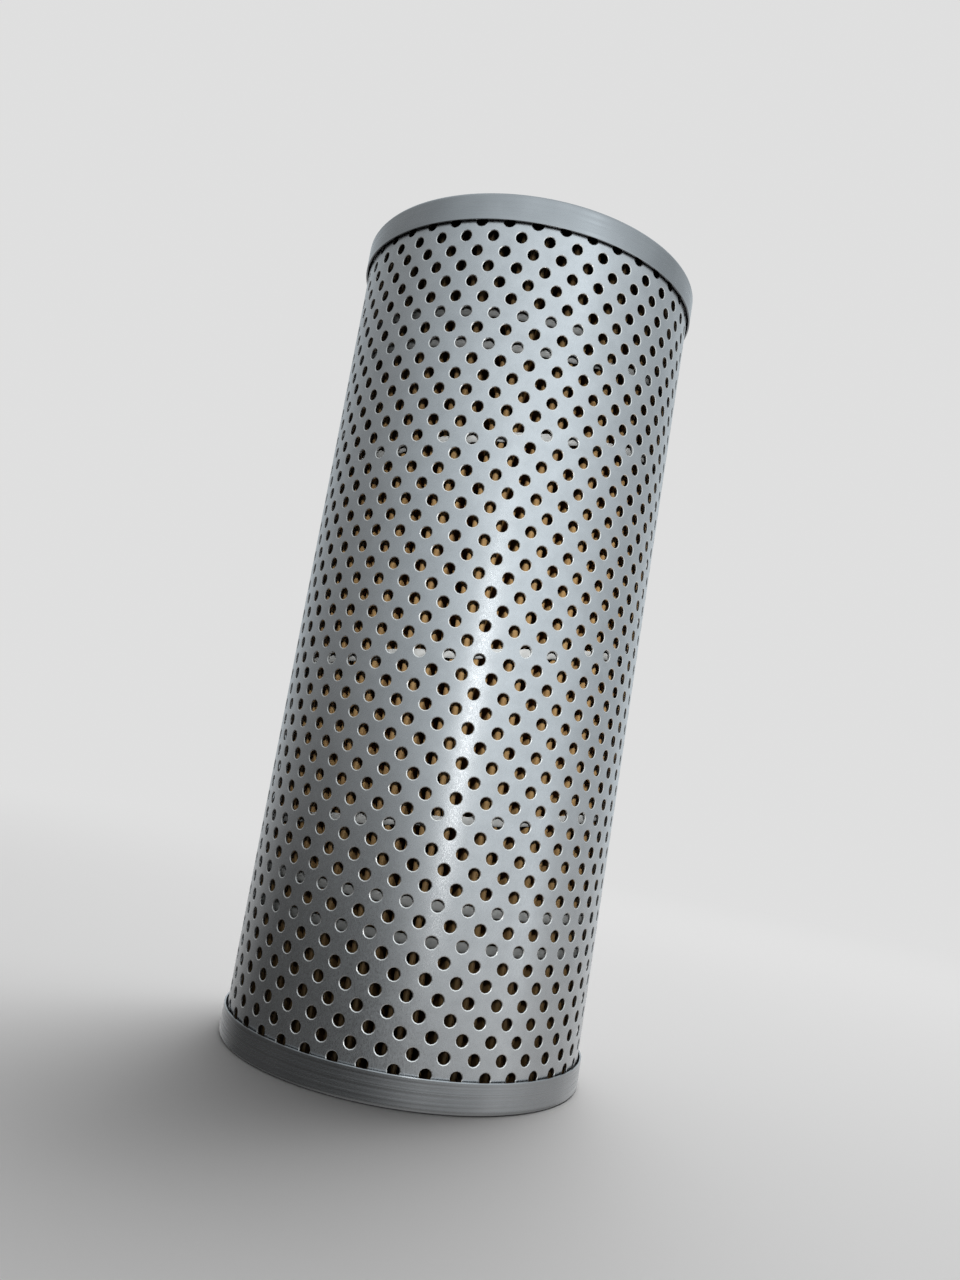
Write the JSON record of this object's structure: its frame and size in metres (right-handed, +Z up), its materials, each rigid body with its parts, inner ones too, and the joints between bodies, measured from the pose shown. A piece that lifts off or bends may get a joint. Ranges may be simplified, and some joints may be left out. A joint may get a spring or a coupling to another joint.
{
  "type": "hydraulic filter element",
  "caption": "Round pleated paper filter element in a perforated steel tube, with pressed end caps and a sealed bore through both ends.",
  "frame": {"origin": "centre of the bottom end cap's outer face, on which the element stands", "axes": "+Z up along the element's axis, +Y towards the lap seam, -Y towards the side that the picture shows"},
  "size_m": [0.13, 0.13, 0.298],
  "materials": {
    "tube_steel": "zinc coated sheet, satin, punched holes with bright rims",
    "core_steel": "zinc coated sheet, satin",
    "resin_paper": "tan paper stiffened with resin",
    "clip_steel": "plain folded strip",
    "bead_adhesive": "whitish grey adhesive thread",
    "cap_steel": "zinc coated pressing, slightly darker and duller than the tube",
    "seal_rubber": "matte black moulded rubber",
    "potting_adhesive": "cast dark adhesive"
  },
  "bodies": {
    "root": {"outer_tube": "tube_steel", "inner_tube": "core_steel", "pleated_paper": "resin_paper", "pleat_clip": "clip_steel", "adhesive_bead": "bead_adhesive", "bottom_end_cap": "cap_steel", "bottom_seal": "seal_rubber", "bottom_potting": "potting_adhesive", "top_end_cap": "cap_steel", "top_seal": "seal_rubber", "top_potting": "potting_adhesive"}
  },
  "joints": []
}
